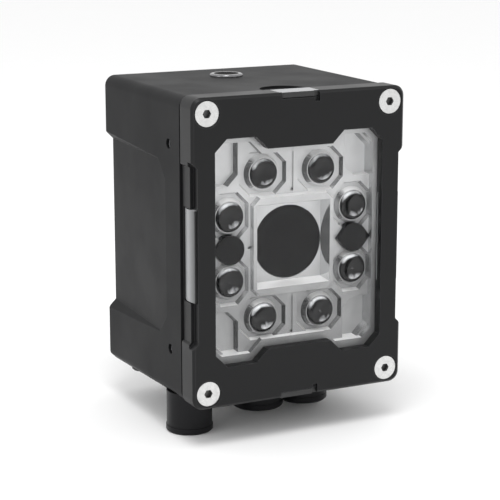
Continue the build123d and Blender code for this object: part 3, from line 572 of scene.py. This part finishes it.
def metal_film(name, base, pocket):
    """Metal film on a moulding, painted paler towards the top and in the pockets as painted light, near
    white on ledges as painted light, and with painted shade on the mirror walls that face left.
    """
    finish = Finish(name, base, 0.4, 0.35)
    waves = finish.noise(160.0, 2.0)
    # Painted shade low on the open faces, and painted shade on the walls that face left
    painted_low_shade, dark = times(0.42, base), times(0.3, base)
    low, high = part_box("reflector_plate")
    floor = low.y + pocket
    # Painted light: open faces are painted paler towards the top and down in the pockets
    rise = finish.reckon(finish.spread(finish.at("Z"), (low.z / 2, high.z / 2)), 0.7, "MULTIPLY")
    deep = finish.spread(finish.at("Y"), (floor, floor + 0.3 * MM), (0.0, 0.3))
    level = finish.reckon(finish.reckon(rise, deep), finish.spread(waves, USUAL, (-0.08, 0.08)))
    colour = finish.between(level, painted_low_shade, base)
    # Painted light: ledges that face up are painted near white, as if lit from above
    ledge = finish.spread(finish.facing(UP), (0.4, 0.9))
    colour = finish.between(ledge, colour, PAINTED_LEDGE_LIGHT)
    # Walls that face left are mirrors; outside the camera's well they get painted shade, the outermost
    # less so
    wall = finish.spread(finish.facing(LEFT), (0.45, 0.75))
    colour = finish.between(wall, colour, base)
    across = finish.reckon(finish.at("X"), operation="ABSOLUTE")
    up = finish.reckon(finish.at("Z"), operation="ABSOLUTE")
    well = WELL_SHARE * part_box("port_window")[1].x
    outside = finish.spread(finish.reckon(across, up, "MAXIMUM"), (well, well + MM))
    inner = finish.spread(across, (0.85 * high.x, 0.88 * high.x), (1.0, 0.3))
    shade = finish.reckon(finish.reckon(wall, outside, "MULTIPLY"), inner, "MULTIPLY")
    finish.to("Base Color", finish.between(shade, colour, dark))
    satin = finish.spread(finish.noise(420.0, 4.0), USUAL, (0.36, 0.46))
    polish = finish.spread(wall, (0.0, 1.0), (0.0, 0.3))
    finish.to("Roughness", finish.reckon(satin, polish, "SUBTRACT"))
    finish.to("Metallic", finish.spread(wall, (0.0, 1.0), (0.35, 0.9)))
    finish.bump(waves, 0.02 * MM, 0.4)
    return finish.material


def smoked(name, base):
    """Dark glossy lens or window with a trace of moulding waves and specks of dust."""
    finish = Finish(name, base, 0.06)
    specks = finish.spread(finish.noise(1800.0, 3.0), (0.66, 0.85))
    finish.to("Base Color", finish.between(specks, base, tuple(0.01 + c for c in base)))
    finish.to("Roughness", finish.spread(specks, (0.0, 1.0), (0.05, 0.2)))
    finish.bump(finish.noise(220.0, 1.0), 0.01 * MM, 0.4)
    finish.set("Specular IOR Level", 0.26)
    return finish.material


def lamp_plastic(name, base, glint):
    """Dark lamp lens with a painted highlight where its rim and its dish face the light above."""
    finish = Finish(name, base, 0.08)
    flow = finish.noise(500.0, 3.0, (1, 1, 0.25))
    # Painted highlight: faces turned towards a fixed direction are painted pale, streaked by flowing
    # noise
    light = finish.reckon(finish.facing(PAINTED_HIGHLIGHT_DIRECTION), finish.spread(flow, USUAL, (-0.12, 0.12)))
    finish.to("Base Color", finish.between(finish.spread(light, (0.68, 0.96)), base, glint))
    finish.to("Roughness", finish.spread(flow, USUAL, (0.06, 0.14)))
    finish.set("Specular IOR Level", 0.4)
    return finish.material


def milky(name, base):
    """Milky plastic, painted palest in the middle of its depth and darker towards its edges as painted
    shading of a rounded bar, with a painted highlight on faces that face up and painted shade on its
    front faces.
    """
    finish = Finish(name, base, 0.42)
    # A cloudy tone, then painted shade towards the edges, a painted highlight on top and painted shade
    # on the front
    cloudy, rim, painted_top_highlight, film = (times(share, base) for share in (1.12, 0.35, 1.3, 0.07))
    cloud = finish.spread(finish.noise(130.0, 3.0), USUAL)
    colour = finish.between(cloud, base, cloudy)
    # Painted shade: darker away from the middle of the bar's depth
    low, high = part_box("light_bar_left")
    half = (high.y - low.y) / 2
    aside = finish.reckon(finish.at("Y"), low.y + half, "SUBTRACT")
    aside = finish.reckon(aside, operation="ABSOLUTE")
    colour = finish.between(finish.spread(aside, (0.15 * half, half)), colour, rim)
    # Painted highlight on faces that face up
    top = finish.spread(finish.facing(UP), (0.6, 0.9))
    colour = finish.between(top, colour, painted_top_highlight)
    # Painted shade on faces that face the front
    front = finish.spread(finish.facing(FRONT), (0.6, 0.9))
    finish.to("Base Color", finish.between(front, colour, film))
    finish.bump(finish.noise(3000.0, 2.0), 0.01 * MM, 0.4, soften=0.3 * MM)
    finish.set("Subsurface Weight", 0.3)
    finish.set("Subsurface Radius", (1.0, 1.0, 1.0))
    finish.set("Subsurface Scale", 0.8 * MM)
    return finish.material


def clear(name):
    """Thin clear pane that shows only as a faint, slightly dusty glint."""
    finish = Finish(name, PANE, 0.03, 1.0)
    dust = finish.spread(finish.noise(900.0, 4.0), (0.55, 0.8), (0.03, 0.16))
    finish.to("Roughness", dust)
    finish.set("Alpha", 0.004)
    return finish.material


def turned_steel(name, base, ring):
    """Satin steel of the corner screws, ringed and scuffed, with painted shade down in the socket."""
    finish = Finish(name, base, 0.3, 0.9)
    # Painted shade for the floor of the socket
    socket = times(0.13, base)
    low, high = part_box("front_screw_1")
    centre = (low + high) / 2
    squares = []
    for axis, middle in (("X", abs(centre.x)), ("Z", abs(centre.z))):
        away = finish.reckon(finish.at(axis), operation="ABSOLUTE")
        away = finish.reckon(away, middle, "SUBTRACT")
        squares.append(finish.reckon(away, away, "MULTIPLY"))
    reach = finish.reckon(finish.reckon(*squares), 0.5, "POWER")
    turns = finish.reckon(reach, 2 * math.pi / ring, "MULTIPLY")
    rings = finish.reckon(turns, operation="SINE")
    scuffs = finish.noise(700.0, 4.0)
    finish.to("Roughness", finish.spread(scuffs, (0.35, 0.7), (0.24, 0.42)))
    # Painted shade: darker with depth into the socket, mixed with real scuffs
    head = [low.y + depth for depth in SCREW_SHADE]
    shade = finish.spread(finish.at("Y"), head, (1.0, 0.0))
    worn = finish.reckon(finish.spread(scuffs, (0.4, 0.75), (1.0, 0.85)), shade, "MULTIPLY")
    finish.to("Base Color", finish.between(worn, socket, base))
    finish.bump(rings, 0.006 * MM, 0.5, soften=0.12 * MM)
    return finish.material


def plated(name, base, roughness, metallic, scratch=500.0):
    """Plated or polished metal with fine drawn marks."""
    finish = Finish(name, base, roughness, metallic)
    finish.set("Specular IOR Level", 0.35)
    marks = finish.noise(scratch, 4.0, (1, 1, 0.12))
    finish.to("Roughness", finish.spread(marks, USUAL, (roughness - 0.05, roughness + 0.09)))
    worn = finish.spread(marks, (0.35, 0.75))
    finish.to("Base Color", finish.between(worn, base, times(1.3, base)))
    finish.bump(marks, 0.004 * MM, 0.5, soften=0.15 * MM)
    return finish.material


def moulded(name, base, roughness=0.5, grain=1500.0, shine=0.4):
    """Moulded plastic or rubber with an eroded grain."""
    finish = Finish(name, base, roughness)
    finish.set("Specular IOR Level", shine)
    fine = finish.noise(grain, 3.0)
    worn = finish.spread(fine, (0.3, 0.75))
    finish.to("Base Color", finish.between(worn, base, times(1.4, base)))
    finish.to("Roughness", finish.spread(fine, USUAL, (roughness - 0.06, roughness + 0.08)))
    finish.bump(fine, 0.015 * MM, 0.5, soften=0.1 * MM)
    return finish.material


def circuit_board(name, mask, copper, tin):
    """Solder mask over copper tracks, with small tinned holes."""
    finish = Finish(name, mask, 0.35)
    turn = finish.nodes.new("ShaderNodeMapping")
    turn.inputs["Rotation"].default_value = (math.pi / 4, 0, 0)
    finish.links.new(finish.place, turn.inputs["Vector"])
    tracks = finish.nodes.new("ShaderNodeTexBrick")
    tracks.inputs["Scale"].default_value = 260.0
    tracks.inputs["Mortar Size"].default_value = 0.04
    tracks.inputs["Brick Width"].default_value = 7.0
    tracks.inputs["Row Height"].default_value = 0.22
    holes = finish.nodes.new("ShaderNodeTexVoronoi")
    holes.inputs["Scale"].default_value = 240.0
    for pattern in (tracks, holes):
        finish.links.new(turn.outputs["Vector"], pattern.inputs["Vector"])
    lines = finish.spread(tracks.outputs["Fac"], (0.0, 1.0))
    dots = finish.spread(holes.outputs["Distance"], (0.07, 0.1), (1.0, 0.0))
    finish.to("Base Color", finish.between(dots, finish.between(lines, mask, copper), tin))
    finish.to("Metallic", finish.reckon(dots, 0.8, "MULTIPLY"))
    finish.to("Roughness", finish.spread(finish.noise(900.0, 3.0), USUAL, (0.28, 0.42)))
    finish.bump(lines, 0.02 * MM, 0.3)
    return finish.material


def dress(material, *names):
    """Gives CAD pieces a finish."""
    for name in names:
        node = frame["nodes"][name]
        node.data.materials.clear()
        node.data.materials.append(material)


def named(start):
    """Names of the CAD pieces that start with a word."""
    return [name for name in frame["nodes"] if name.startswith(start)]


# The reader's pieces, one operator each


class READER_OT_casing(bpy.types.Operator):
    """Coats the housing and its cover, and finishes the gasket and the corner screws"""

    bl_idname = "reader.casing"
    bl_label = "Casing"

    def execute(self, context):
        colours = context.scene.reader_finishes
        edge = tuple(colours.edge)
        housing, cover = tuple(colours.housing), tuple(colours.cover)
        cast = coating("housing_coat", housing, edge, 2600.0, 0.5, 0.02 * MM, shine=0.11)
        smooth = coating("cover_coat", cover, edge, 3800.0, 0.4, 0.008 * MM, shine=0.25)
        dress(cast, "main_housing")
        dress(smooth, "front_cover")
        dress(moulded("gasket_rubber", RUBBER, 0.7), "housing_gasket", "window_seal")
        dress(turned_steel("screw_steel", tuple(colours.screw), SCREW_RING), *named("front_screw"))
        return {"FINISHED"}


class READER_OT_window(bpy.types.Operator):
    """Finishes the clear window and the reflector behind it"""

    bl_idname = "reader.window"
    bl_label = "Window and reflector"

    def execute(self, context):
        colour = tuple(context.scene.reader_finishes.reflector)
        pocket = context.scene.reader_sizes.pocket_depth
        dress(clear("clear_pane"), "front_window")
        dress(metal_film("reflector_film", colour, pocket), "reflector_plate")
        return {"FINISHED"}


class READER_OT_optics(bpy.types.Operator):
    """Finishes the lamps, the aiming windows and the camera"""

    bl_idname = "reader.optics"
    bl_label = "Lamps and camera"

    def execute(self, context):
        smoke = tuple(context.scene.reader_finishes.smoke)
        lamps = [name for name in named("lamp_") if "lens" not in name]
        dress(smoked("smoked_lens", smoke), *named("aimer_window"), "port_window")
        dress(lamp_plastic("lamp_lens_plastic", smoke, PAINTED_LENS_HIGHLIGHT), *named("lamp_lens"))
        dress(moulded("lamp_phosphor", PHOSPHOR), *lamps)
        dress(coating("barrel_coat", BARREL, BARREL_EDGE, 3000.0, 0.6, 0.01 * MM), "lens_barrel")
        dress(smoked("lens_glass", LENS_GLASS), "front_lens", "rear_lens", "image_sensor")
        return {"FINISHED"}


class READER_OT_light_bars(bpy.types.Operator):
    """Finishes the four light bars in the cover's edge"""

    bl_idname = "reader.light_bars"
    bl_label = "Light bars"

    def execute(self, context):
        colour = tuple(context.scene.reader_finishes.diffuser)
        dress(milky("milky_bar", colour), *named("light_bar"))
        return {"FINISHED"}


class READER_OT_button(bpy.types.Operator):
    """Finishes the push button and what works under it"""

    bl_idname = "reader.button"
    bl_label = "Push button"

    def execute(self, context):
        dress(plated("button_ring", BEZEL_STEEL, 0.2, 1.0), "button_bezel")
        dress(moulded("button_cap", BUTTON_CAP, 0.6, shine=0.03), "push_button")
        steel = plated("spring_steel", SPRING_STEEL, 0.3, 1.0)
        dress(steel, "button_clip")
        sizes = context.scene.reader_sizes
        low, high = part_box("button_spring")
        seat = Vector(((low.x + high.x) / 2, (low.y + high.y) / 2, low.z))
        height = high.z - low.z
        radius = (high.x - low.x) / 2
        spring = coil_spring(radius, sizes.spring_wire, sizes.spring_turns, height, sizes.turn_steps)
        settle(spring, Matrix.Translation(seat))
        keep(spring, "return_spring", steel)
        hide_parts("button_spring")
        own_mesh(spring)
        return {"FINISHED"}


class READER_OT_sockets(bpy.types.Operator):
    """Finishes the round connectors and cuts their threads and contact sleeves"""

    bl_idname = "reader.sockets"
    bl_label = "Connectors"

    def execute(self, context):
        sizes = context.scene.reader_sizes
        plating = plated("socket_plating", tuple(context.scene.reader_finishes.plating), 0.42, 0.5)
        dress(plating, *named("power_shell"), "network_shell", "light_shell")
        plastic = moulded("insert_plastic", BLACK_PLASTIC)
        dress(plastic, "power_insert", "network_insert", "light_insert")
        gold = plated("contact_gold", GOLD, 0.25, 1.0)
        dress(gold, "power_pins", "board_posts")
        pitch = sizes.socket_pitch
        radius = MOUNTS["power_socket"]["dims"]["r_mm"] * MM
        depth = RIDGE_HEIGHT * pitch
        model = thread_ridge(radius, depth, pitch, sizes.socket_thread, sizes.turn_steps)
        for socket in ("power", "network", "light"):
            mount = MOUNTS[f"{socket}_socket"]
            mouth = Vector(mount["pos_m"])
            mouth.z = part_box(f"{socket}_shell")[0].z + pitch / 2
            ridge = copy_of(model)
            settle(ridge, into_hole(mouth, mount["axis"]))
            keep(ridge, f"{socket}_thread", plating)
        bpy.data.objects.remove(model)
        for socket, count in (("network", sizes.network_contacts), ("light", sizes.light_contacts)):
            low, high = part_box(f"{socket}_insert")
            middle = (low + high) / 2
            reach = radius * sizes.contact_circle
            places = []
            for number in range(count):
                angle = 2 * math.pi * number / count
                offset = Vector((reach * math.sin(angle), -reach * math.cos(angle), 0))
                places.append(Matrix.Translation(Vector((middle.x, middle.y, low.z)) + offset))
            sleeve = contact_sleeve(sizes.sleeve_radius, sizes.sleeve_wall, sizes.sleeve_length)
            keep(set_out(sleeve, places), f"{socket}_sleeves", gold)
        return {"FINISHED"}


class READER_OT_tapped_holes(bpy.types.Operator):
    """Cuts the threads of the mounting holes in the sides and the back"""

    bl_idname = "reader.tapped_holes"
    bl_label = "Tapped holes"

    def execute(self, context):
        sizes = context.scene.reader_sizes
        pitch = sizes.hole_pitch
        bare = plated("cut_metal", CUT_METAL, 0.35, 0.9)
        radius = MOUNTS["rear_mount"]["dims"]["hole_r_mm"] * MM
        depth, steps = RIDGE_HEIGHT * pitch, sizes.turn_steps // 2
        model = thread_ridge(radius, depth, pitch, sizes.hole_thread, steps)
        places = []
        for name in ("side_mount_left", "side_mount_right"):
            half = MOUNTS[name]["dims"]["spacing_y_mm"] * MM / 2
            places += [(name, Vector((0, 0, up * half))) for up in (-1, 1)]
        rear = MOUNTS["rear_mount"]["dims"]
        half_x, half_z = rear["spacing_x_mm"] * MM / 2, rear["spacing_y_mm"] * MM / 2
        for i in (-1, 1):
            places += [("rear_mount", Vector((i * half_x, 0, k * half_z))) for k in (-1, 1)]
        for number, (name, offset) in enumerate(places, 1):
            axis = Vector(MOUNTS[name]["axis"])
            ridge = copy_of(model)
            mouth = Vector(MOUNTS[name]["pos_m"]) + offset - axis * pitch
            settle(ridge, into_hole(mouth, axis))
            keep(ridge, f"hole_thread_{number}", bare)
        bpy.data.objects.remove(model)
        return {"FINISHED"}


class READER_OT_boards(bpy.types.Operator):
    """Finishes the boards and the two chips that the solids have"""

    bl_idname = "reader.boards"
    bl_label = "Boards"

    def execute(self, context):
        mask = circuit_board("solder_mask", SOLDER_MASK, COPPER_TRACK, TINNED_HOLE)
        dress(mask, "led_board", "camera_board", "main_board", "switch_board")
        dress(moulded("chip_case", CHIP_CASE, 0.55), "processor_chip", "button_switch")
        return {"FINISHED"}


class READER_OT_capacitors(bpy.types.Operator):
    """Sets small capacitors round the processor and down the camera board"""

    bl_idname = "reader.capacitors"
    bl_label = "Capacitors"

    def execute(self, context):
        sizes = context.scene.reader_sizes
        long, wide = sizes.capacitor_length, sizes.capacitor_width
        ceramic = moulded("brown_ceramic", CERAMIC, 0.4, 4000.0)
        tin = plated("solder_tin", TIN, 0.3, 0.9)
        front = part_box("main_board")[0].y
        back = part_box("camera_board")[1].y
        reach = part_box("processor_chip")[1].x + CHIP_GAP
        places = []
        for number in range(sizes.capacitors):
            along = (number - (sizes.capacitors - 1) / 2) * sizes.capacitor_spacing
            for side in (-1, 1):
                places.append(on_face(side * reach, along, front, -1))
                places.append(on_face(along, side * reach, front, -1, math.pi / 2))
                places.append(on_face(side * CAMERA_ROWS * reach, along, back, 1))
        ends = []
        for place in places:
            ends += [place @ Matrix.Translation((side * END_REACH * long, 0, 0)) for side in (-1, 1)]
        length, width, height = CAPACITOR_BODY
        body = slanted_block((length * long, width * wide), height * wide, soften=0.06 * wide)
        keep(set_out(body, places), "capacitor_bodies", ceramic)
        length, width, height = CAPACITOR_END
        end = slanted_block((length * long, width * wide), height * wide, soften=0.1 * wide)
        keep(set_out(end, ends), "capacitor_ends", tin)
        return {"FINISHED"}


class READER_OT_coils(bpy.types.Operator):
    """Sets the power supply's coils on the main board"""

    bl_idname = "reader.coils"
    bl_label = "Coils"

    def execute(self, context):
        sizes = context.scene.reader_sizes
        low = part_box("main_board")[0]
        down = low.z + sizes.coil_width
        step = COIL_SPACING * sizes.coil_width
        places = [on_face(x, down, low.y, -1) for x in (-step, 0, step)]
        coil = wound_coil(sizes.coil_width, sizes.coil_height)
        ferrite = moulded("ferrite", FERRITE, 0.45)
        keep(set_out(coil, places), "supply_coils", ferrite)
        return {"FINISHED"}


class READER_OT_board_link(bpy.types.Operator):
    """Joins the camera board to the main board by a plug and a socket with two rows of pins"""

    bl_idname = "reader.board_link"
    bl_label = "Board link"

    def execute(self, context):
        sizes = context.scene.reader_sizes
        pitch, count = sizes.pin_pitch, sizes.pin_count
        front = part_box("main_board")[0].y
        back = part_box("camera_board")[1].y
        gap = front - back
        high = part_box("processor_chip")[1].z + LINK_RISE * pitch
        case = moulded("link_plastic", LINK_PLASTIC, 0.45)
        socket = set_out(pin_socket(count, pitch, SOCKET_HEIGHT * gap), [on_face(0, high, front, -1)])
        keep(socket, "link_socket", case)
        plug = slanted_block((count * pitch, 2 * pitch), PLUG_HEIGHT * gap, 0.1 * pitch, 0.97)
        keep(set_out(plug, [on_face(0, high, back, 1)]), "link_plug", case)
        places = []
        for number in range(count):
            along = (number - (count - 1) / 2) * pitch
            places += [on_face(along, high + row * pitch / 2, back, 1) for row in (-1, 1)]
        pin = square_pin(PIN_WIDTH * pitch, PIN_LENGTH * gap)
        gold = plated("link_gold", GOLD, 0.25, 1.0)
        keep(set_out(pin, places), "link_pins", gold)
        return {"FINISHED"}


class READER_OT_stage(bpy.types.Operator):
    """Lays the pale floor and sets the lights and the camera"""

    bl_idname = "reader.stage"
    bl_label = "Stage"

    def execute(self, context):
        stage = context.scene.reader_stage
        deselect()
        bpy.ops.mesh.primitive_plane_add(size=2 * stage.floor_size, location=(0, 0, CAD_BOX[0].z))
        floor = context.object
        bpy.ops.object.transform_apply(location=True)
        floor.name = floor.data.name = "studio_floor"
        pale = tuple(stage.floor)
        paper = Finish("studio_paper", pale, 0.8)
        paper.to("Base Color", paper.between(paper.noise(30.0), pale, times(0.99, pale)))
        floor.data.materials.append(paper.material)
        world = bpy.data.worlds.new("studio_air")
        world.use_nodes = True
        air = world.node_tree.nodes["Background"]
        air.inputs["Color"].default_value = (1, 1, 1, 1)
        air.inputs["Strength"].default_value = stage.air
        context.scene.world = world
        context.scene.view_settings.view_transform = "Standard"
        middle = (CAD_BOX[0] + CAD_BOX[1]) / 2
        for name, (place, size), power in (
            ("top_light", TOP_LIGHT, stage.top_power),
            ("left_light", LEFT_LIGHT, stage.left_power),
        ):
            bpy.ops.object.light_add(type="AREA", location=place)
            light = context.object
            light.name = light.data.name = name
            light.data.size = size
            light.data.energy = power
            light.rotation_euler = (middle - Vector(place)).to_track_quat("-Z", "Y").to_euler()
        bpy.ops.object.camera_add(location=tuple(stage.eye))
        camera = context.object
        camera.name = camera.data.name = "photo_camera"
        camera.rotation_euler = Vector(stage.look).to_track_quat("-Z", "Y").to_euler()
        camera.data.sensor_width = 36.0
        camera.data.lens = stage.lens
        context.scene.camera = camera
        return {"FINISHED"}


OPERATORS = (
    READER_OT_casing,
    READER_OT_window,
    READER_OT_optics,
    READER_OT_light_bars,
    READER_OT_button,
    READER_OT_sockets,
    READER_OT_tapped_holes,
    READER_OT_boards,
    READER_OT_capacitors,
    READER_OT_coils,
    READER_OT_board_link,
    READER_OT_stage,
)


class READER_PT_looks(bpy.types.Panel):
    """Sidebar panel with the reader's colours, sizes and operators"""

    bl_idname = "READER_PT_looks"
    bl_label = "Reader"
    bl_space_type = "VIEW_3D"
    bl_region_type = "UI"
    bl_category = "Reader"

    def draw(self, context):
        for name, _ in GROUPS:
            group = getattr(context.scene, name)
            box = self.layout.box()
            for field in group.__annotations__:
                box.prop(group, field)
        for operator in OPERATORS:
            self.layout.operator(operator.bl_idname)


GROUPS = (
    ("reader_finishes", ReaderFinishes),
    ("reader_sizes", ReaderSizes),
    ("reader_stage", ReaderStage),
)


def register():
    for _, group in GROUPS:
        bpy.utils.register_class(group)
    for name, group in GROUPS:
        setattr(bpy.types.Scene, name, PointerProperty(type=group))
    for cls in (*OPERATORS, READER_PT_looks):
        bpy.utils.register_class(cls)


def unregister():
    for cls in (READER_PT_looks, *reversed(OPERATORS)):
        bpy.utils.unregister_class(cls)
    for name, group in GROUPS:
        delattr(bpy.types.Scene, name)
        bpy.utils.unregister_class(group)


def main():
    register()
    deselect()
    for operator in OPERATORS:
        group, call = operator.bl_idname.split(".")
        getattr(getattr(bpy.ops, group), call)()


if __name__ == "__main__":
    main()
